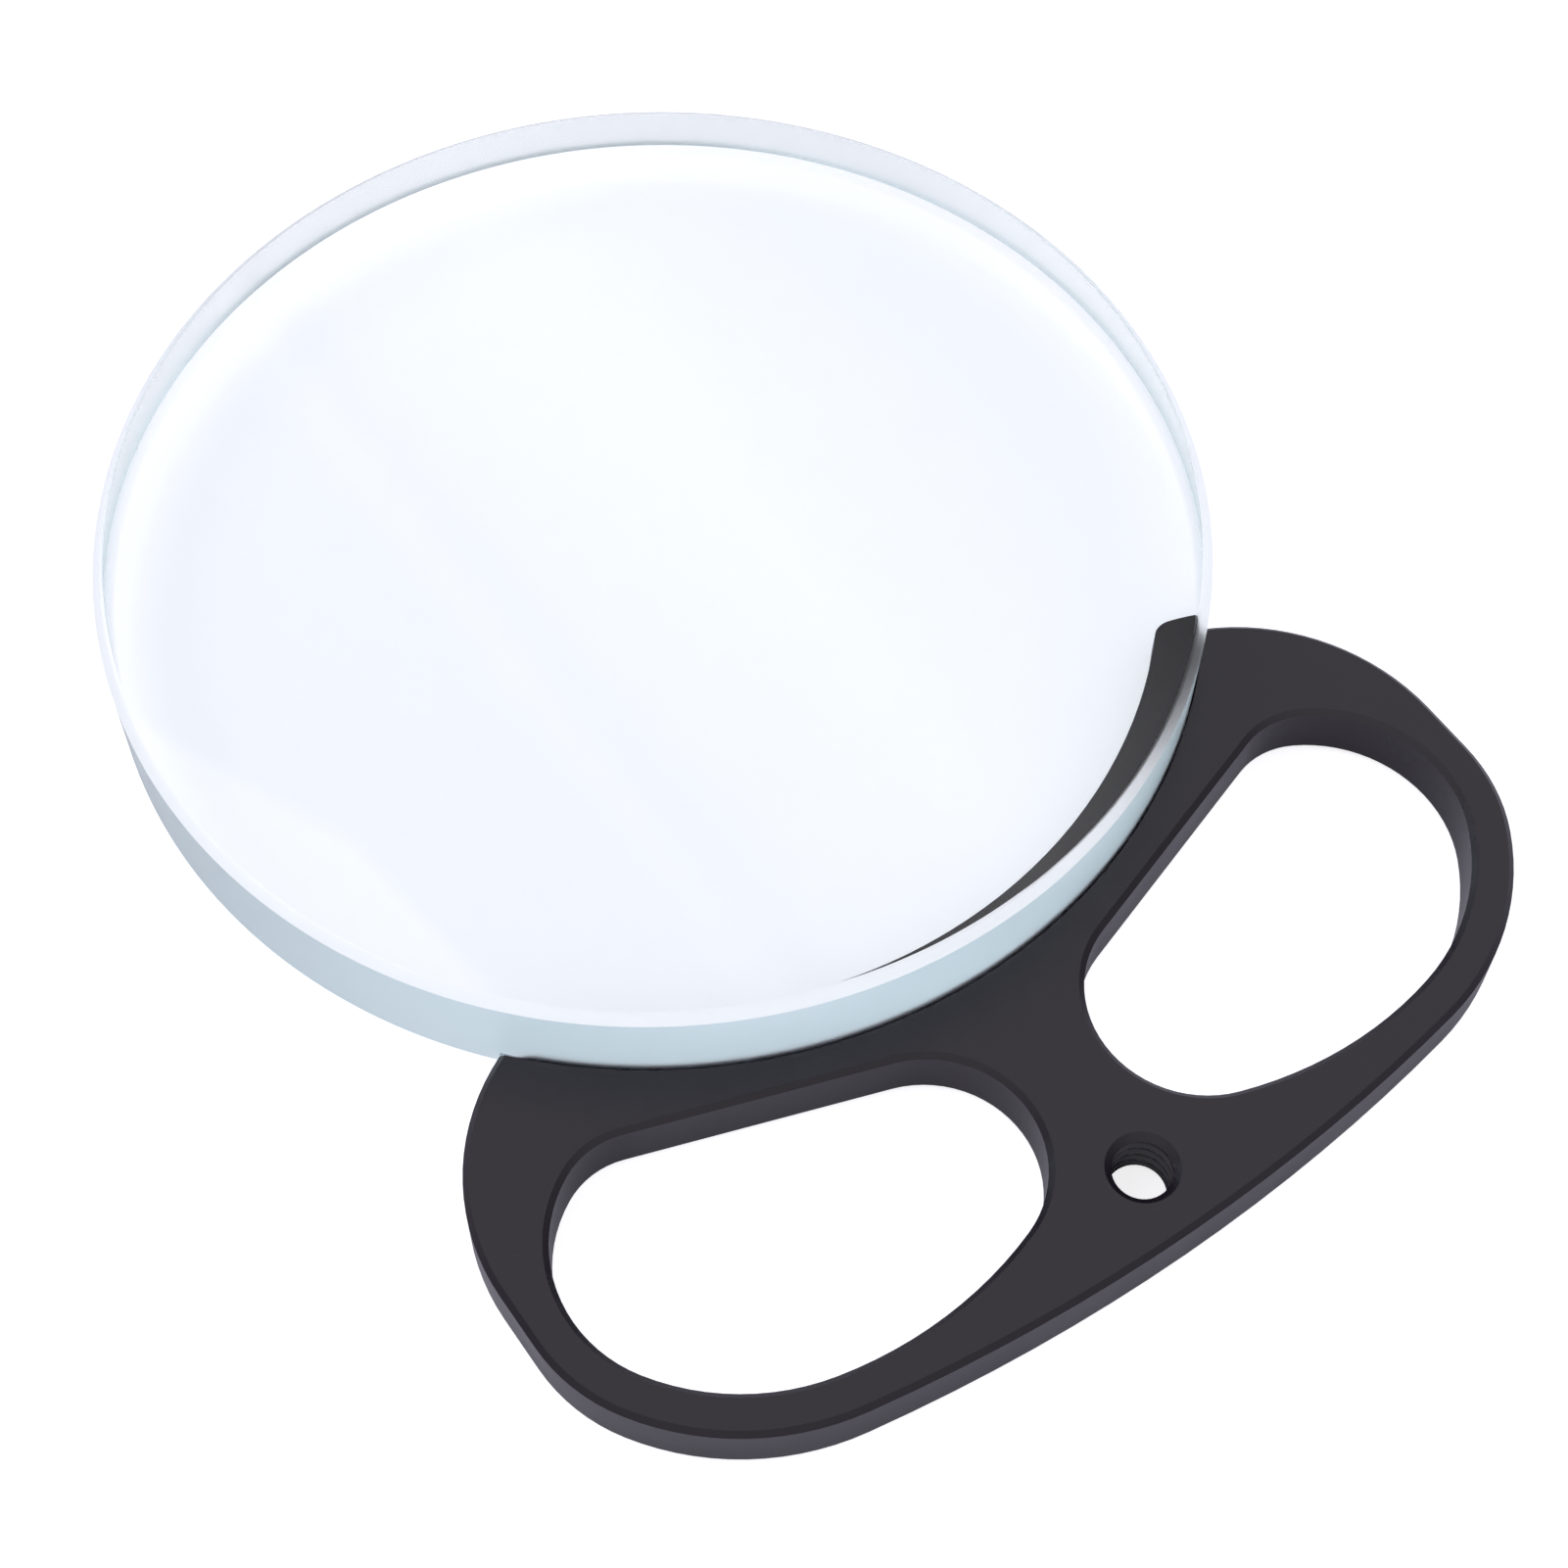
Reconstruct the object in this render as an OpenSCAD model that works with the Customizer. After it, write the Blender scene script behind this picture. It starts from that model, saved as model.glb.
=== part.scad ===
// Hand-held viewing glass: a thick round glass disc bonded into a crescent
// seat of a flat two-finger grip plate that is tapped for a tripod screw.
// Frame: the origin is on the tripod thread's axis at the plate's underside,
// +Y points from the grip to the glass, +X across the grip, +Z up.

/* [Glass] */
// Diameter of the glass disc
glass_d = 100; // [80:1:130]
// Thickness of the glass disc
glass_t = 11; // [8:0.5:16]
// Ground bevel on both edges of the disc
glass_bevel = 0.8; // [0.2:0.1:1.2]

/* [Seat] */
// Depth of the crescent seat below the plate's top face
seat_depth = 2.6; // [1.5:0.1:3.5]
// Width of the ledge that carries the rim of the glass
ledge_w = 4.3; // [3:0.1:7]
// Thickness of the clear bond under and around the glass
bond_t = 0.15; // [0.1:0.05:0.3]
// Radius of the rounded inner corner of each horn of the seat
horn_r = 2; // [1:0.1:3]

/* [Grip plate] */
// Thickness of the grip plate
plate_t = 6; // [5:0.5:9]
// Bevel that breaks all the plate's edges
edge_break = 0.5; // [0.2:0.1:0.8]
// Width of the rim round the outer side of the fingers
rim_w = 3.65; // [3:0.05:6]
// Width of the web between a finger opening and the glass
web_w = 2.9; // [2:0.1:5]
// Width of the bridge between the two finger openings
bridge_w = 8.9; // [7:0.1:16]
// How far the long back edge bows out past the two heels
back_bow = 2.3; // [1:0.1:4]
// Length of the straight flank at each side
flank_l = 5.1; // [3:0.1:9]
// Radius of the shoulder that runs from the flank to the glass
shoulder_r = 20.1; // [18:0.1:23]

/* [Finger openings] */
// Radius of the round end beside the bridge
inner_r = 9.75; // [8.5:0.05:11]
// Radius of the long floor of the opening
floor_r = 35.9; // [32:0.1:40]
// Radius of the heel where the floor turns up
heel_r = 20.7; // [19:0.1:22.5]
// Radius of the outer side
side_r = 12.4; // [11.5:0.1:14]
// Radius of the corner where the outer side meets the straight side
corner_r = 7.1; // [5.5:0.1:8.5]
// Direction in which the inner end hands over to the floor
floor_from = 251; // [246:1:255]
// Direction in which the floor hands over to the heel
heel_from = 283; // [279:1:287]
// Direction in which the heel hands over to the outer side
side_from = 327; // [322:1:332]
// Direction in which the outer side hands over to the corner
corner_from = 421; // [415:1:427]
// Height of the inner end's centre above the tripod thread
opening_rise = 10.15; // [8:0.05:14]

/* [Tripod thread] */
// Core diameter of the tapped hole, for a 1/4-20 UNC screw
tap_d = 5.1; // [4.9:0.05:5.3]
// Diameter of the countersink at each mouth of the tapped hole
mouth_d = 6.4; // [6:0.1:8]

/* [Hidden] */
$fn = 120;
eps = 0.01;
over = 1;

// ---- points and arcs -------------------------------------------------
// An arc is [centre, radius, first direction, last direction]. The arcs of
// a closed rim run anticlockwise, and straight sides join those that don't
// meet end to end.
function dir(a) = [cos(a), sin(a)];
function at(arc, a, out = 0) = arc[0] + (arc[1] + out) * dir(a);
// Centre of the arc of radius r that takes over from arc centre c, radius
// r0, in direction a, with no kink.
function follow(c, r0, r, a) = c + (r0 - r) * dir(a);
function bearing(v) = atan2(v[1], v[0]);
function flipped(arc) = [[-arc[0][0], arc[0][1]], arc[1], 180 - arc[3], 180 - arc[2]];

// ---- finger opening on the +X side -----------------------------------
inner_c = [bridge_w / 2 + inner_r, opening_rise];
floor_c = follow(inner_c, inner_r, floor_r, floor_from);
heel_c = follow(floor_c, floor_r, heel_r, heel_from);
side_c = follow(heel_c, heel_r, side_r, side_from);
corner_c = follow(side_c, side_r, corner_r, corner_from);
// The straight side is the common tangent of the corner and the inner end.
span = inner_c - corner_c;
tangent_a = bearing(span) + 360 - acos((corner_r - inner_r) / norm(span));
opening = [
    [floor_c, floor_r, floor_from, heel_from],
    [heel_c, heel_r, heel_from, side_from],
    [side_c, side_r, side_from, corner_from],
    [corner_c, corner_r, corner_from, tangent_a + 360],
    [inner_c, inner_r, tangent_a, floor_from]
];

// ---- glass, bond and seat --------------------------------------------
glass_r = glass_d / 2;
seat_r = glass_r + bond_t;
ledge_r = glass_r - ledge_w;
ledge_z = plate_t - seat_depth;
glass_z = ledge_z + bond_t;
// The glass stands off from the openings' straight sides by the web.
glass_y = (corner_c * dir(tangent_a) + corner_r + web_w + seat_r) / sin(tangent_a);
glass_c = [0, glass_y];

// ---- outline of the plate --------------------------------------------
// The rim follows the heel and the side of the opening at a constant width.
outer_heel_r = heel_r + rim_w;
outer_side_r = side_r + rim_w;
back_r = round(10 * (pow(heel_c[0], 2) / (2 * back_bow) + outer_heel_r + back_bow / 2)) / 10;
back_c = [0, heel_c[1] + sqrt(pow(back_r - outer_heel_r, 2) - pow(heel_c[0], 2))];
back_to = bearing(heel_c - back_c) + 360;
half_w = side_c[0] + outer_side_r;
shoulder_c = [half_w - shoulder_r, side_c[1] + flank_l];
// The horn's corner lies inside the shoulder and just laps the ledge's edge.
horn_lap = 0.05;
horn_d = norm(glass_c - shoulder_c);
horn_a = shoulder_r - horn_r;
horn_b = ledge_r + horn_r - horn_lap;
horn_x = (horn_a * horn_a - horn_b * horn_b + horn_d * horn_d) / (2 * horn_d);
horn_turn = bearing(glass_c - shoulder_c) - acos(horn_x / horn_a);
horn_c = shoulder_c + horn_a * dir(horn_turn);
horn_to = bearing(glass_c - horn_c);
right_side = [
    [heel_c, outer_heel_r, back_to, side_from],
    [side_c, outer_side_r, side_from, 360],
    [shoulder_c, shoulder_r, 0, horn_turn],
    [horn_c, horn_r, horn_turn, horn_to]
];
outline = concat(
    [for (i = [len(right_side) - 1 : -1 : 0]) flipped(right_side[i])],
    [[back_c, back_r, 540 - back_to, back_to]],
    right_side
);
// Between the horns the outline is left open, under the glass.
function across(points) = concat(points, [for (i = [len(points) - 1 : -1 : 0])
    [-points[i][0], points[i][1]]]);
horns = across([horn_c + horn_r / 2 * dir(horn_to - 20),
                horn_c + (horn_r + over) * dir(horn_to - 5)]);

// ---- tripod thread ---------------------------------------------------
mouth_depth = (mouth_d - tap_d) / 2;

// Moves by whole millimetres, then thousandths, then what is left, so that
// arcs that meet keep every digit of their centres.
module place(p) {
    whole = [round(p[0]), round(p[1]), 0];
    part = [round((p[0] - whole[0]) * 1000), round((p[1] - whole[1]) * 1000), 0] / 1000;
    translate(whole)
        translate(part)
            translate([p[0] - whole[0] - part[0], p[1] - whole[1] - part[1], 0])
                children();
}

// A slab from z0 to z1 within a rim of arcs. Its two edges are cut back by
// bevel, or flared out by it where bevel is negative. Where the rim is left
// open, its flat core is closed through the points in mouth.
module slab(arcs, z0, z1, bevel = 0, mouth = []) {
    n = len(arcs);
    in = max(bevel, 0) + over;
    out = max(-bevel, 0) + over;
    step = abs(bevel);
    // Section through the rim, r from the arc's centre or the side's line.
    function rim(r, root) = step == 0
        ? [[root, z0], [r, z0], [r, z1], [root, z1]]
        : [[root, z0], [r - bevel, z0], [r, z0 + step],
           [r, z1 - step], [r - bevel, z1], [root, z1]];
    function turn(a) = (a[3] - a[2] + 720) % 360;
    module between(points)
        translate([0, 0, z0 - over])
            linear_extrude(z1 - z0 + 2 * over)
                polygon(points);
    translate([0, 0, z0])
        linear_extrude(z1 - z0)
            polygon(concat([for (i = [0 : n - 1]) for (e = [0, 1])
                if ((e == 1 || turn(arcs[i]) > 25) && (mouth == [] || e == 0 || i < n - 1)
                    && (mouth == [] || e == 1 || i > 0))
                    at(arcs[i], arcs[i][2 + e], over / 2 - in)], mouth));
    for (i = [0 : n - 1]) {
        a = arcs[i];
        b = arcs[(i + 1) % n];
        reach = (a[1] + out) / cos(turn(a) / 8);
        side = norm(at(b, b[2]) - at(a, a[3]));
        // The arc's own sector, between planes that it shares with its
        // neighbours, and back past its chord into the flat core.
        intersection() {
            place(a[0])
                rotate_extrude()
                    polygon(rim(a[1], 0));
            between([at(a, a[2], -in), at(a, a[2], out),
                     for (k = [1 : 2 : 7]) a[0] + reach * dir(a[2] + turn(a) * k / 8),
                     at(a, a[3], out), at(a, a[3], -in)]);
        }
        // The straight side that follows it, if one does.
        if (side > 0.1 && (mouth == [] || i < n - 1))
            intersection() {
                place(at(a, a[3]))
                    rotate([0, 0, a[3]])
                        rotate([90, 0, 0])
                            translate([0, 0, -side - over])
                                linear_extrude(side + 2 * over)
                                    polygon(rim(0, -in - over));
                between([at(a, a[3], -in), at(a, a[3], out),
                         at(b, b[2], out), at(b, b[2], -in)]);
            }
    }
}

// Opening for the fingers on one side, flared at both faces of the plate.
module finger_opening(arcs) {
    slab(arcs, -over, plate_t + over, -edge_break - over);
}

// Crescent seat: a ledge for the rim of the glass and a clear view inside.
module seat_cut() {
    translate([0, glass_y, 0]) {
        translate([0, 0, ledge_z])
            cylinder(r = seat_r, h = seat_depth + over);
        rotate_extrude()
            polygon([[0, -over], [ledge_r + edge_break + over, -over],
                     [ledge_r, edge_break], [ledge_r, ledge_z + over],
                     [0, ledge_z + over]]);
    }
}

// Through hole at its core diameter with a countersink at both mouths.
module tapped_hole() {
    translate([0, 0, -over])
        cylinder(d = tap_d, h = plate_t + 2 * over);
    rotate_extrude()
        polygon([[0, -over], [mouth_d / 2 + over, -over],
                 [tap_d / 2 - eps, mouth_depth + eps], [0, mouth_depth + eps]]);
    rotate_extrude()
        polygon([[0, plate_t + over], [mouth_d / 2 + over, plate_t + over],
                 [tap_d / 2 - eps, plate_t - mouth_depth - eps],
                 [0, plate_t - mouth_depth - eps]]);
}

// One-piece plate: crescent seat, two finger openings, tripod thread.
module grip_plate() {
    color([0.17, 0.165, 0.18])
    difference() {
        slab(outline, 0, plate_t, edge_break, horns);
        finger_opening(opening);
        mirror([1, 0, 0]) finger_opening(opening);
        seat_cut();
        tapped_hole();
    }
}

// Clear film between the glass and the seat's floor and wall.
module bond_film() {
    color([0.85, 0.9, 0.92, 0.6])
    intersection() {
        translate([0, glass_y, 0])
            rotate_extrude()
                polygon([[ledge_r, ledge_z], [seat_r, ledge_z], [seat_r, plate_t],
                         [glass_r, plate_t], [glass_r, glass_z], [ledge_r, glass_z]]);
        slab(outline, ledge_z - over, plate_t + over, 0, horns);
    }
}

// Plane-parallel disc with a ground bevel on both edges.
module glass_disc() {
    color([0.8, 0.93, 0.96, 0.35])
    translate([0, glass_y, glass_z])
        rotate_extrude()
            polygon([[0, 0], [glass_r - glass_bevel, 0], [glass_r, glass_bevel],
                     [glass_r, glass_t - glass_bevel],
                     [glass_r - glass_bevel, glass_t], [0, glass_t]]);
}

grip_plate();
bond_film();
glass_disc();
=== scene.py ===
# %% [markdown]
# # A thick round viewing glass in a two-finger grip plate
# The real thing has three parts. A disc of clear glass, 100 mm across and
# 11 mm thick, sits in a crescent seat of a flat plate of black anodised
# aluminium, and a thin film of clear adhesive holds it there. The plate has
# two openings for fingers and one tapped hole for a tripod screw.
#
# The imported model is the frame: everything made here is in its place and at
# its size, in metres, with the origin under the tripod thread.

# %% The frame and its box
import math

import bmesh
import bpy
from mathutils import Matrix, Vector


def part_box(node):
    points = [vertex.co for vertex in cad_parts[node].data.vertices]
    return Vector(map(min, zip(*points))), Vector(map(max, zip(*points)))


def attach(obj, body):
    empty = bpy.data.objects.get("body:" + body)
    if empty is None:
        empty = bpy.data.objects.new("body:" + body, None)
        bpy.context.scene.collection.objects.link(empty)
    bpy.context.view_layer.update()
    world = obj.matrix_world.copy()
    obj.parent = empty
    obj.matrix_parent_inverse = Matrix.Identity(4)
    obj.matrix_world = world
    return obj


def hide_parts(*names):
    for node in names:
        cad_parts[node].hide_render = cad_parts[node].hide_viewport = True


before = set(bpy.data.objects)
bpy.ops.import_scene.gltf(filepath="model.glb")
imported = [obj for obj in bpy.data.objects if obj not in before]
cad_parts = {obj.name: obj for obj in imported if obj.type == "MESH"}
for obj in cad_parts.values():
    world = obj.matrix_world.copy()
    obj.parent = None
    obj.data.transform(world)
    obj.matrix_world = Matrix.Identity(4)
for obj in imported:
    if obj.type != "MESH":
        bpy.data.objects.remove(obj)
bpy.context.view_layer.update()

MM = 0.001

# %% [markdown]
# ## The camera
# The camera comes first, so that everything after it can be looked at. It
# stands above and to the left of the grip and looks down at the glass. A
# small roll turns the picture by one degree. `track quaternion` aims it, and
# the roll is added about its own axis.

# %% Camera
CAMERA_AT = Vector((-82.95, -63.64, 232.88)) * MM
CAMERA_AIM = Vector((-3.22, 46.71, 6.0)) * MM
CAMERA_ROLL = math.radians(1.01)
LENS_MM = 69.0
SENSOR_MM = 36.0

camera_data = bpy.data.cameras.new("camera")
camera_data.lens = LENS_MM
camera_data.sensor_width = SENSOR_MM
camera_data.clip_start, camera_data.clip_end = 0.01, 20
camera = bpy.data.objects.new("camera", camera_data)
bpy.context.collection.objects.link(camera)
aim = (CAMERA_AIM - CAMERA_AT).to_track_quat("-Z", "Y").to_matrix().to_4x4()
camera.matrix_world = (Matrix.Translation(CAMERA_AT) @ aim
                       @ Matrix.Rotation(CAMERA_ROLL, 4, "Z"))
bpy.context.scene.camera = camera
print("camera axes:", [[round(v, 4) for v in row] for row in camera.matrix_world.to_3x3()])

# %% [markdown]
# ## Two helpers for pieces
# A finished piece is one mesh object at the origin, unturned and unscaled.
# `new_piece` makes it from a bmesh. Its flat faces meet at clear edges, so
# an edge stays sharp where two faces turn by more than a given angle, and the
# rest is shaded smooth.

# %% Helper: a bmesh becomes a piece that rides on the part
SHARP_ANGLE = math.radians(28)


def new_piece(name, bm, materials, sharp=SHARP_ANGLE):
    """Makes an object from bm, gives it its materials and hangs it on the root body."""
    for face in bm.faces:
        face.smooth = True
    for edge in bm.edges:
        edge.smooth = len(edge.link_faces) == 2 and edge.calc_face_angle() < sharp
    mesh = bpy.data.meshes.new(name)
    bm.to_mesh(mesh)
    bm.free()
    piece = bpy.data.objects.new(name, mesh)
    bpy.context.collection.objects.link(piece)
    for material in materials:
        mesh.materials.append(material)
    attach(piece, "root")
    print(name, "has", len(mesh.polygons), "faces")
    return piece


# %% Helpers: colours and nodes
def linear(hex_colour):
    """An sRGB hex colour such as 3C3A3F as linear RGBA."""
    parts = [int(hex_colour[i:i + 2], 16) / 255 for i in (0, 2, 4)]
    return [c / 12.92 if c <= 0.04045 else ((c + 0.055) / 1.055) ** 2.4 for c in parts] + [1.0]


def add_node(tree, kind, settings=None, **links):
    """Adds a node. A setting is a property or, by its socket's name, a value."""
    node = tree.nodes.new(kind)
    for name, value in (settings or {}).items():
        if hasattr(node, name):
            setattr(node, name, value)
        else:
            node.inputs[name].default_value = value
    for name, source in links.items():
        socket = node.inputs[int(name[1:])] if name[0] == "i" and name[1:].isdigit() \
            else node.inputs[name.replace("_", " ")]
        tree.links.new(source, socket)
    return node


def new_material(name):
    """An empty material: its node tree and its output node."""
    material = bpy.data.materials.new(name)
    material.use_nodes = True
    material.node_tree.nodes.clear()
    return material, material.node_tree


# %% [markdown]
# ## Black anodised aluminium
# The plate is milled, blasted with fine beads and then anodised black. The
# dyed oxide is a clear, hard skin over a nearly black ground, so the eye gets
# a dark satin that only mirrors what is around it, a little more on faces
# that are seen at a flat angle. The bead marks are some 0.08 mm across. They
# show as a very faint grain, which a bump gives. Broad, soft patches where the
# gloss and the tone change a little stand for the unevenness of the dye.

# %% Material: black anodised aluminium
BEAD_MM = 0.16  # twice the real size, or the grain would not show
BEAD_DEPTH = 0.01 * MM
BEAD_STRENGTH = 0.06
CLOUD_MM = 9.0
GLOSSY_PATCH, DULL_PATCH = 0.27, 0.33

anodised, tree = new_material("black_anodised_aluminium")
place = add_node(tree, "ShaderNodeTexCoord")
beads = add_node(tree, "ShaderNodeTexNoise",
                 {"Scale": 1 / (BEAD_MM * MM), "Detail": 2.0, "Roughness": 0.6},
                 Vector=place.outputs["Object"])
clouds = add_node(tree, "ShaderNodeTexNoise",
                  {"Scale": 1 / (CLOUD_MM * MM), "Detail": 3.0},
                  Vector=place.outputs["Object"])
gloss = add_node(tree, "ShaderNodeMapRange",
                 {"From Min": 0.3, "From Max": 0.7,
                  "To Min": GLOSSY_PATCH, "To Max": DULL_PATCH},
                 Value=clouds.outputs["Fac"])
tone = add_node(tree, "ShaderNodeMix", {"data_type": "RGBA"}, i0=clouds.outputs["Fac"])
for socket, colour in ((6, "17121C"), (7, "1A151F")):
    tone.inputs[socket].default_value = linear(colour)
grain = add_node(tree, "ShaderNodeBump",
                 {"Strength": BEAD_STRENGTH, "Distance": BEAD_DEPTH},
                 Height=beads.outputs["Fac"])
skin = add_node(tree, "ShaderNodeBsdfPrincipled", {"IOR": 1.5},
                Base_Color=tone.outputs[2], Roughness=gloss.outputs["Result"],
                Normal=grain.outputs["Normal"])
add_node(tree, "ShaderNodeOutputMaterial", Surface=skin.outputs["BSDF"])
print("made", anodised.name)

# %% [markdown]
# ## Polished glass with a ground edge
# The disc is clear crown glass. Both faces are polished flat. Its wall and
# its two bevels are only fine ground, which spreads the light that leaves
# there, so the edge looks pale and even. Glass takes a little red out of
# light on a long way through it: the edge, where light has crossed the whole
# disc, is faintly cyan, while the faces look clear. The roughness follows the
# distance from the disc's axis, and the colour comes from absorption, which
# works on the light's real way through the disc. Over the seat the glass is
# wetted by the adhesive, so its lower face mirrors nothing there, and the
# seat is seen through it as a deep black crescent.

# %% Material: polished glass
glass_low, glass_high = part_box("glass_disc")
glass_centre = (glass_low + glass_high) / 2
glass_radius = (glass_high.x - glass_low.x) / 2
GLASS_BEVEL = 0.8 * MM
EASE = 0.2 * MM
EDGE_ROUGHNESS = 0.32
EDGE_BLEND = 0.02 * MM
SEAT_WIDTH = 4.3 * MM
LOWER_FACE = 0.1 * MM  # what lies this close to the bottom counts as that face
# Red takes the whole absorption. The other numbers are the share of it that
# green and blue are spared.
SPARED = (0.0, 0.6, 0.75, 1)
ABSORPTION_PER_METRE = 2.6

glass, tree = new_material("polished_crown_glass")
place = add_node(tree, "ShaderNodeTexCoord")
centred = add_node(tree, "ShaderNodeMapping",
                   {"Location": (-glass_centre.x, -glass_centre.y, 0)},
                   Vector=place.outputs["Object"])
flat = add_node(tree, "ShaderNodeVectorMath", {"operation": "MULTIPLY"},
                i0=centred.outputs["Vector"])
flat.inputs[1].default_value = (1, 1, 0)
radius = add_node(tree, "ShaderNodeVectorMath", {"operation": "LENGTH"},
                  i0=flat.outputs["Vector"])
edge = glass_radius - GLASS_BEVEL - EASE
ground = add_node(tree, "ShaderNodeMapRange",
                  {"From Min": edge - EDGE_BLEND, "From Max": edge + EDGE_BLEND},
                  Value=radius.outputs["Value"])
haze = add_node(tree, "ShaderNodeMath", {"operation": "MULTIPLY"}, i0=ground.outputs["Result"])
haze.inputs[1].default_value = EDGE_ROUGHNESS
body = add_node(tree, "ShaderNodeBsdfPrincipled",
                {"Base Color": linear("FFFFFF"), "IOR": 1.52, "Transmission Weight": 1.0},
                Roughness=haze.outputs["Value"])
depth = add_node(tree, "ShaderNodeVolumeAbsorption",
                 {"Color": SPARED, "Density": ABSORPTION_PER_METRE})
film_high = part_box("bond_film")[1]
spot = add_node(tree, "ShaderNodeSeparateXYZ", Vector=place.outputs["Object"])
bonded = add_node(tree, "ShaderNodeMath", {"operation": "GREATER_THAN"},
                  i0=radius.outputs["Value"])
bonded.inputs[1].default_value = glass_radius - SEAT_WIDTH
for axis, limit in (("Y", film_high.y), ("Z", glass_low.z + LOWER_FACE)):
    below = add_node(tree, "ShaderNodeMath", {"operation": "LESS_THAN"}, i0=spot.outputs[axis])
    below.inputs[1].default_value = limit
    bonded = add_node(tree, "ShaderNodeMath", {"operation": "MINIMUM"},
                      i0=bonded.outputs["Value"], i1=below.outputs["Value"])
wetted = add_node(tree, "ShaderNodeBsdfTransparent")
skin = add_node(tree, "ShaderNodeMixShader", Fac=bonded.outputs["Value"],
                i1=body.outputs["BSDF"], i2=wetted.outputs["BSDF"])
add_node(tree, "ShaderNodeOutputMaterial", Surface=skin.outputs["Shader"],
         Volume=depth.outputs["Volume"])
print("made", glass.name)

# %% [markdown]
# ## Clear adhesive
# A film of clear, cured optical adhesive fills the thin gap between the glass
# and its seat. It wets both, so almost no light is mirrored in the joint: its
# own IOR here is that of one such surface to the next, close to 1. The film
# itself is clear. Its grey base colour is painted shade: it dims the seat seen
# through the film, and stands for the mirroring that the wetted plate under it
# has lost.

# %% Material: cured adhesive
RIPPLE_MM = 6.0

adhesive, tree = new_material("adhesive_with_painted_shade")
ripple = add_node(tree, "ShaderNodeTexNoise", {"Scale": 1 / (RIPPLE_MM * MM), "Detail": 1.0},
                  Vector=add_node(tree, "ShaderNodeTexCoord").outputs["Object"])
gloss = add_node(tree, "ShaderNodeMapRange", {"To Min": 0.02, "To Max": 0.08},
                 Value=ripple.outputs["Fac"])
# The grey base colour is painted shade: it dims the seat seen through the film.
film = add_node(tree, "ShaderNodeBsdfPrincipled",
                {"Base Color": linear("C4C4CA"), "IOR": 1.03, "Transmission Weight": 1.0},
                Roughness=gloss.outputs["Result"])
add_node(tree, "ShaderNodeOutputMaterial", Surface=film.outputs["BSDF"])
print("made", adhesive.name)

# %% [markdown]
# ## The adhesive film
# The frame's film touches the glass and the seat, and a surface that two
# pieces share shows as speckle. So a copy of it is merged and drawn in by a
# few hundredths of a millimetre all round, which leaves its shape as it is.

# %% Piece: adhesive film
FILM_INSET = 0.03 * MM
SAME_POINT = 0.001 * MM

film_mesh = bmesh.new()
film_mesh.from_mesh(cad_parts["bond_film"].data)
bmesh.ops.remove_doubles(film_mesh, verts=film_mesh.verts, dist=SAME_POINT)
bmesh.ops.recalc_face_normals(film_mesh, faces=film_mesh.faces)
film_mesh.normal_update()
for vert in film_mesh.verts:
    vert.co -= vert.normal * vert.calc_shell_factor() * FILM_INSET
bond_film = new_piece("clear_adhesive_film", film_mesh, [adhesive])
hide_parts("bond_film")

# %% [markdown]
# ## The glass disc
# The frame's disc has the right shape, but its wall is made of flats, and
# each flat would bend the light its own way. So the disc is made again as a
# turned shape: half of its section is drawn as one line of vertices from axis
# to axis, and `spin` carries it once round. The corners between the faces and
# the bevels are eased, and a ring of vertices just inside each of them keeps
# the faces' shading flat. The lower face stays a hair above the frame's, so
# that it doesn't share a surface with the film.

# %% Piece: glass disc
GAP = 0.03 * MM
RING_INSIDE = 0.04 * MM
GLASS_STEPS = 384


def turned(points, centre, steps):
    """A closed shape: points of (radius, height), on the axis at both ends."""
    bm = bmesh.new()
    line = [bm.verts.new((r, 0, z)) for r, z in points]
    edges = [bm.edges.new(pair) for pair in zip(line, line[1:])]
    bmesh.ops.spin(bm, geom=line + edges, cent=(0, 0, 0), axis=(0, 0, 1),
                   angle=math.tau, steps=steps, use_merge=True)
    bmesh.ops.remove_doubles(bm, verts=bm.verts, dist=0.1 * SAME_POINT)
    bmesh.ops.translate(bm, verts=bm.verts, vec=centre)
    bmesh.ops.recalc_face_normals(bm, faces=bm.faces)
    return bm


low, high, wall = glass_low.z + GAP, glass_high.z, glass_radius - GAP
lip, slope = wall - GLASS_BEVEL, EASE * math.sqrt(0.5)
flat_end = lip - EASE - RING_INSIDE
disc = turned([(0, low), (flat_end, low), (lip - EASE, low), (lip + slope, low + slope),
               (wall, low + GLASS_BEVEL), (wall, high - GLASS_BEVEL),
               (lip + slope, high - slope), (lip - EASE, high), (flat_end, high), (0, high)],
              (glass_centre.x, glass_centre.y, 0), GLASS_STEPS)
viewing_glass = new_piece("viewing_glass", disc, [glass])
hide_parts("glass_disc")

# %% [markdown]
# ## The grip plate and its thread
# The plate's own shape is right. What it lacks is the thread: the frame's
# hole is a plain cylinder at the thread's core. A screw thread is a groove
# that climbs one pitch in each turn, so a copy of the plate is taken, the
# hole's wall is cut out, and a new wall is drawn up from the lower mouth in
# thin rings. Each vertex then moves outwards by the depth of the groove at
# its own height and angle: not at all on the crest, which is a quarter of
# the pitch wide, then down a flank to the root. The groove fades out at both
# ends, so that the wall still meets the two mouths.

# %% Piece: grip plate with a threaded hole
CORE_R = 2.55 * MM
THREAD_R = 3.175 * MM
PITCH = 1.27 * MM
HALF_GROOVE = 0.375 * PITCH  # measured at the core; the rest is the crest
FLANK_SLOPE = math.tan(math.radians(60))
FADE_SLOPE = 1.5
THREAD_ROWS = 110
ON_CORE = 0.02 * MM

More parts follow.
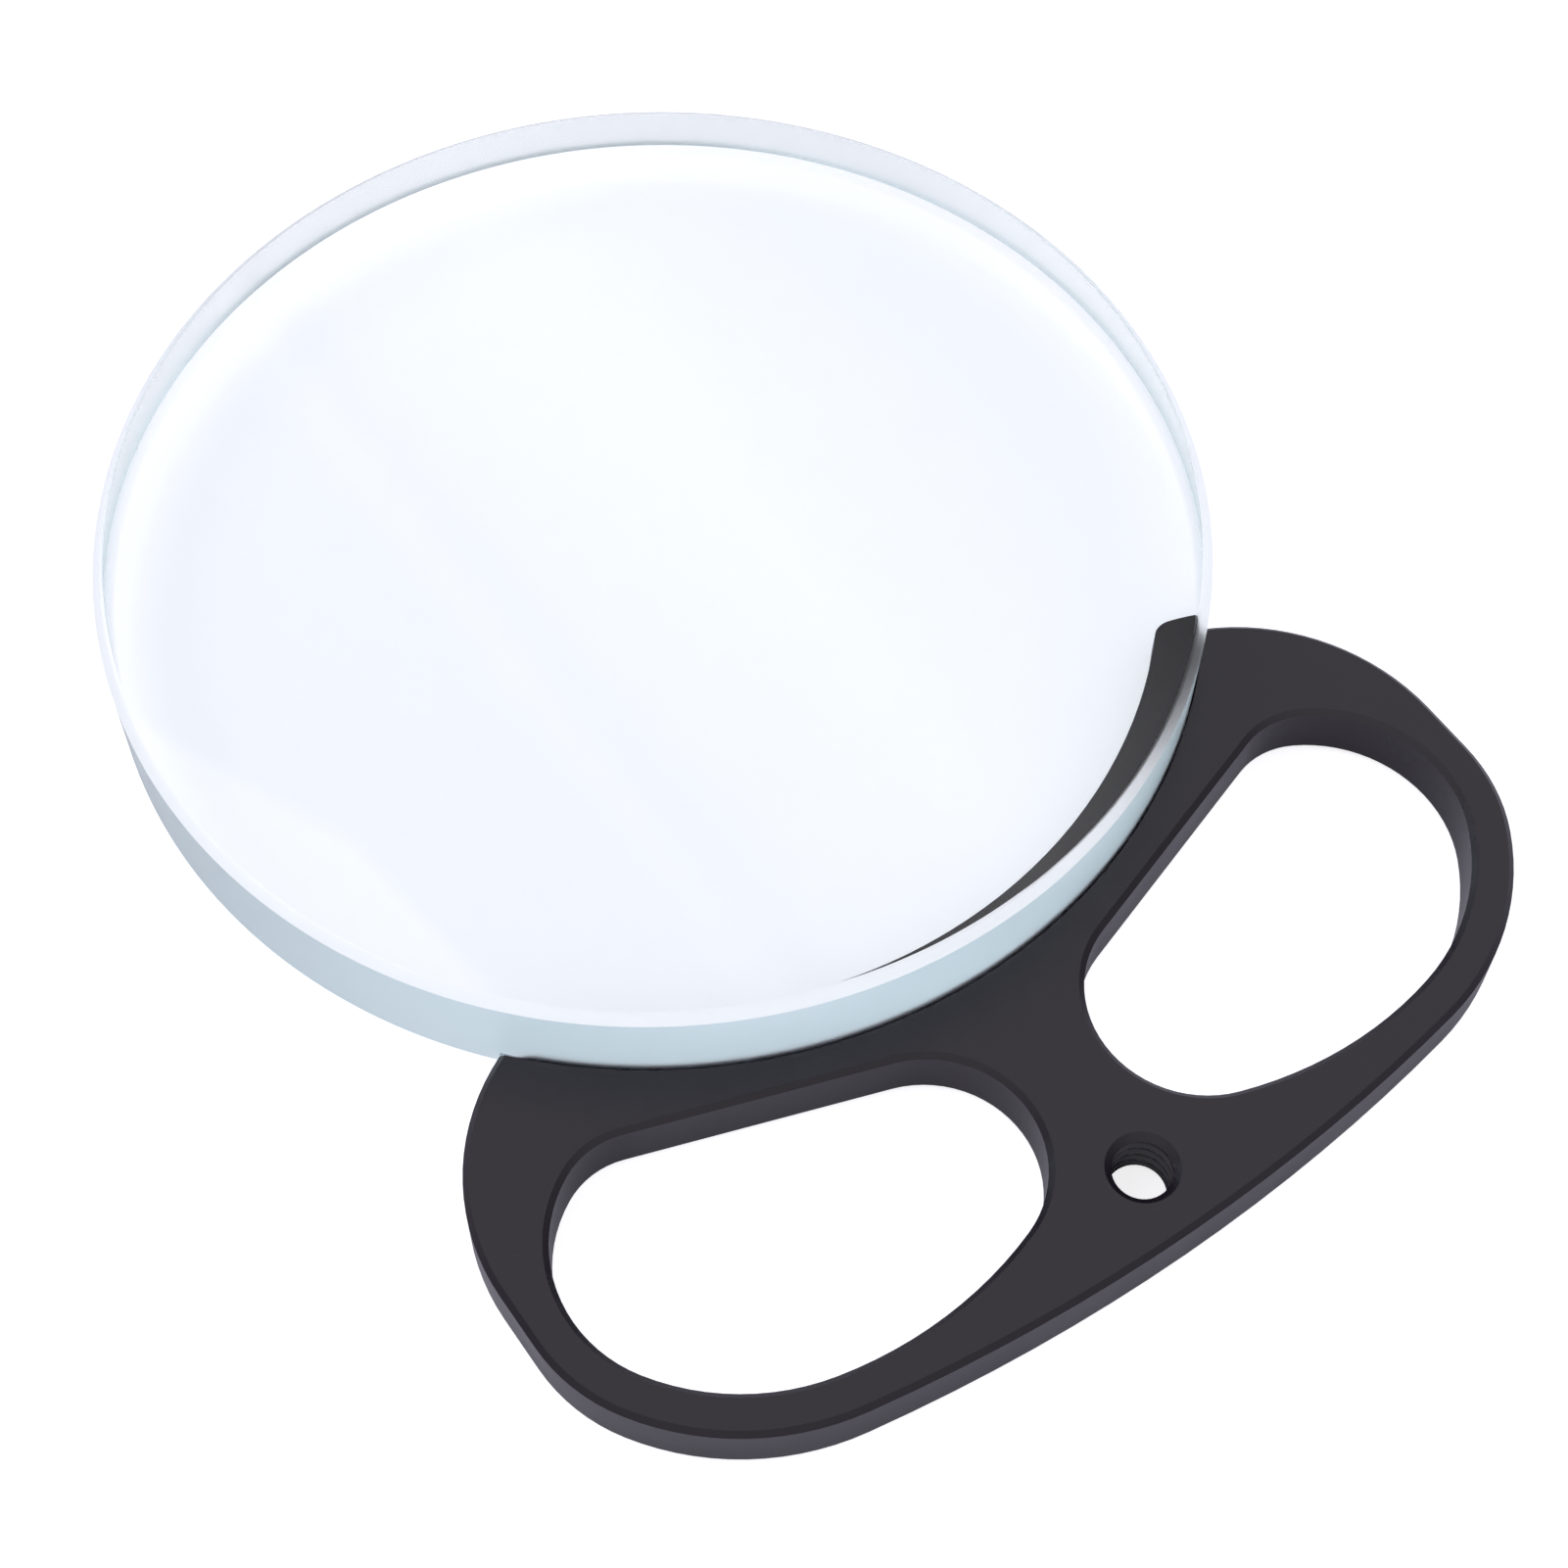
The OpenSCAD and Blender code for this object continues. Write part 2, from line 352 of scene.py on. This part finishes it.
plate = bmesh.new()
plate.from_mesh(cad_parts["grip_plate"].data)
bmesh.ops.remove_doubles(plate, verts=plate.verts, dist=SAME_POINT)
hole = [f for f in plate.faces
        if all(abs(math.hypot(v.co.x, v.co.y) - CORE_R) < ON_CORE for v in f.verts)]
bmesh.ops.delete(plate, geom=hole, context="FACES_ONLY")
rims = [e for e in plate.edges if e.is_boundary]
thread_low = min(e.verts[0].co.z for e in rims)
thread_high = max(e.verts[0].co.z for e in rims)
lower = [e for e in rims if e.verts[0].co.z < (thread_low + thread_high) / 2]
print("hole faces:", len(hole), "rim edges:", len(rims), "lower:", len(lower))


def groove(x, y, z):
    """Depth of the thread's groove at a point of the hole's wall."""
    turn = math.atan2(y, x) / math.tau
    from_root = abs((z / PITCH - turn) % 1.0 - 0.5) * PITCH
    depth = FLANK_SLOPE * (HALF_GROOVE - from_root)
    room = min(z - thread_low, thread_high - z)
    return max(0.0, min(depth, THREAD_R - CORE_R, FADE_SLOPE * room))


ring = lower
rise = (thread_high - thread_low) / THREAD_ROWS
rows = []
for row in range(THREAD_ROWS):
    grown = bmesh.ops.extrude_edge_only(plate, edges=ring)["geom"]
    verts = [g for g in grown if isinstance(g, bmesh.types.BMVert)]
    ring = [g for g in grown if isinstance(g, bmesh.types.BMEdge)
            and all(v in set(verts) for v in g.verts)]
    bmesh.ops.translate(plate, verts=verts, vec=(0, 0, rise))
    rows.append(verts)
for verts in rows[:-1]:
    for v in verts:
        scale = 1 + groove(*v.co) / CORE_R
        v.co.x *= scale
        v.co.y *= scale
bmesh.ops.remove_doubles(plate, verts=plate.verts, dist=2 * SAME_POINT)
bmesh.ops.recalc_face_normals(plate, faces=plate.faces)
print("open edges left:", sum(e.is_boundary for e in plate.edges))
grip = new_piece("threaded_grip_plate", plate, [anodised])
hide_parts("grip_plate")

# %% [markdown]
# ## Floor
# A white table lies just under the plate. Its own glow is a little under
# white, and the light that falls on it makes up the rest, so that it still
# takes the part's soft shadow. What the part mirrors of it gets a smaller
# glow. A ray that has gone through the glass counts as mirrored and as
# transmitted, so it gets both of those glows together.

# %% Floor
FLOOR_Z = -0.3 * MM
FLOOR_HALF = 6.0  # metres
GLOW_SEEN = 0.78
GLOW_MIRRORED = 0.08
GLOW_THROUGH_GLASS = 0.53

white, tree = new_material("white_table")
rays = add_node(tree, "ShaderNodeLightPath")


def glow(ray, strength, colour):
    """The table's own glow for one kind of ray."""
    level = add_node(tree, "ShaderNodeMath", {"operation": "MULTIPLY"}, i0=rays.outputs[ray])
    level.inputs[1].default_value = strength
    return add_node(tree, "ShaderNodeEmission", {"Color": linear(colour)},
                    Strength=level.outputs["Value"]).outputs["Emission"]


shader = add_node(tree, "ShaderNodeBsdfDiffuse", {"Color": linear("C1BFC9")}).outputs["BSDF"]
for ray, strength, colour in (("Is Camera Ray", GLOW_SEEN, "FFFFFF"),
                              ("Is Glossy Ray", GLOW_MIRRORED, "EAE6FF"),
                              ("Is Transmission Ray", GLOW_THROUGH_GLASS, "FAFFFF")):
    shader = add_node(tree, "ShaderNodeAddShader", i0=shader,
                      i1=glow(ray, strength, colour)).outputs["Shader"]
add_node(tree, "ShaderNodeOutputMaterial", Surface=shader)

bm = bmesh.new()
bmesh.ops.create_grid(bm, x_segments=1, y_segments=1, size=FLOOR_HALF)
bmesh.ops.translate(bm, verts=bm.verts, vec=(0, 0, FLOOR_Z))
floor_mesh = bpy.data.meshes.new("floor")
bm.to_mesh(floor_mesh)
bm.free()
floor = bpy.data.objects.new("floor", floor_mesh)
bpy.context.collection.objects.link(floor)
floor_mesh.materials.append(white)
print("floor at", FLOOR_Z / MM, "mm")

# %% [markdown]
# ## Light
# The room around is white to the eye and through the glass. It lights the
# part as an even ceiling that dims towards the horizon, so that the plate's
# walls stand out from its top. Only the polished glass, which mirrors
# sharply, sees what the ceiling is made of: long soft strips that run along
# Y, and the corner of a second panel at the left. Is Singular Ray picks those
# sharp rays out. The satin plate would only blur the strips into one broad
# tone, and it keeps the even ceiling.

# %% World
CEILING_LEVEL = 0.88
HORIZON_SHARE = 0.25  # of the ceiling's level
HORIZON_END, CEILING_START = 0.10, 0.50  # as heights on a unit sphere
ROOM_WHITE = 1.0
# Where each strip lies on a ceiling one metre up, along X, and its level.
STRIPS = ((0.16, 0.1), (0.28, 0.5), (0.295, 1.0), (0.31, 0.5), (0.33, 1.1),
          (0.41, 1.7), (0.44, 1.4), (0.57, 0.3))
RAMP_TOP = 2.0  # the level that white stands for in the ramp
PANEL_LEVEL = 1.1
# The panel's two straight sides: the turn of each in degrees and how far out it is.
PANEL_SIDES = ((23.9, 0.410), (5.7, 0.256))
SIDE_SOFT = 0.003
LOWEST_UP = 0.1  # keeps the ceiling's pattern finite near the horizon

world = bpy.data.worlds.new("studio")
bpy.context.scene.world = world
world.use_nodes = True
tree = world.node_tree
tree.nodes.clear()


def maths(operation, first, second):
    """A math node of two inputs, each a socket or a plain number."""
    node = add_node(tree, "ShaderNodeMath", {"operation": operation})
    for index, value in enumerate((first, second)):
        if isinstance(value, (int, float)):
            node.inputs[index].default_value = value
        else:
            tree.links.new(value, node.inputs[index])
    return node.outputs["Value"]


place = add_node(tree, "ShaderNodeTexCoord")
split = add_node(tree, "ShaderNodeSeparateXYZ", Vector=place.outputs["Generated"])
horizon = add_node(tree, "ShaderNodeMapRange",
                   {"From Min": HORIZON_END, "From Max": CEILING_START,
                    "To Min": HORIZON_SHARE, "interpolation_type": "SMOOTHSTEP"},
                   Value=split.outputs["Z"])
even = maths("MULTIPLY", horizon.outputs["Result"], CEILING_LEVEL)

up = maths("MAXIMUM", split.outputs["Z"], LOWEST_UP)
along_x = maths("DIVIDE", split.outputs["X"], up)
along_y = maths("DIVIDE", split.outputs["Y"], up)
start, end = STRIPS[0][0], STRIPS[-1][0]
across = add_node(tree, "ShaderNodeMapRange", {"From Min": start, "From Max": end},
                  Value=along_x)
strips = add_node(tree, "ShaderNodeValToRGB", i0=across.outputs["Result"])
ramp = strips.color_ramp
while len(ramp.elements) < len(STRIPS):
    ramp.elements.new(0.5)
for stop, (x, level) in zip(ramp.elements, STRIPS):
    stop.position = (x - start) / (end - start)
    stop.color = (level / RAMP_TOP, level / RAMP_TOP, level / RAMP_TOP, 1)


def side(angle, offset):
    """1 on the near side of a straight edge on the ceiling, else 0."""
    reach = maths("ADD", maths("MULTIPLY", along_x, math.cos(math.radians(angle))),
                  maths("MULTIPLY", along_y, math.sin(math.radians(angle))))
    return add_node(tree, "ShaderNodeMapRange",
                    {"From Min": offset + SIDE_SOFT, "From Max": offset - SIDE_SOFT},
                    Value=reach).outputs["Result"]


corner = maths("MINIMUM", *[side(angle, offset) for angle, offset in PANEL_SIDES])
softbox = maths("ADD", maths("MULTIPLY", strips.outputs["Color"], RAMP_TOP),
                maths("MULTIPLY", corner, PANEL_LEVEL))

rays = add_node(tree, "ShaderNodeLightPath").outputs
strength = even
for share, level in ((rays["Is Singular Ray"], softbox),
                     (maths("MAXIMUM", rays["Is Camera Ray"], rays["Is Transmission Ray"]),
                      ROOM_WHITE)):
    blend = add_node(tree, "ShaderNodeMix", {"data_type": "FLOAT"}, i0=share, i2=strength)
    if isinstance(level, float):
        blend.inputs[3].default_value = level
    else:
        tree.links.new(level, blend.inputs[3])
    strength = blend.outputs[0]
sky = add_node(tree, "ShaderNodeBackground", {"Color": linear("FCFBFF")}, Strength=strength)
add_node(tree, "ShaderNodeOutputWorld", Surface=sky.outputs["Background"])
print("ceiling:", len(STRIPS), "levels across", start, "to", end)


# %% Lamps
# Mirrored rays don't see the lamps, so the part mirrors the ceiling alone.
def soft_light(name, at, aim, size, power):
    """A square soft light at a point, turned towards another, in metres."""
    data = bpy.data.lights.new(name, "AREA")
    data.shape = "SQUARE"
    data.size = size
    data.energy = power
    lamp = bpy.data.objects.new(name, data)
    lamp.matrix_world = Matrix.Translation(at) @ (
        Vector(aim) - Vector(at)).to_track_quat("-Z", "Y").to_matrix().to_4x4()
    bpy.context.collection.objects.link(lamp)
    lamp.visible_glossy = False
    print(name, "gives", power, "W")


soft_light("key_light", (-0.5, 0.5, 0.9), (0, 0.05, 0), 0.8, 4.0)
soft_light("fill_light", (0.7, -0.5, 0.6), (0, 0.05, 0), 0.6, 1.2)

# %% [markdown]
# ## Light paths and colour
# Light bounces many times inside the disc before it leaves, so the paths are
# let run long. The picture is shown as it is worked out, with no film look.

# %% Finish
paths = bpy.context.scene.cycles
paths.max_bounces, paths.glossy_bounces, paths.transmission_bounces = 24, 20, 20
bpy.context.scene.view_settings.view_transform = "Standard"
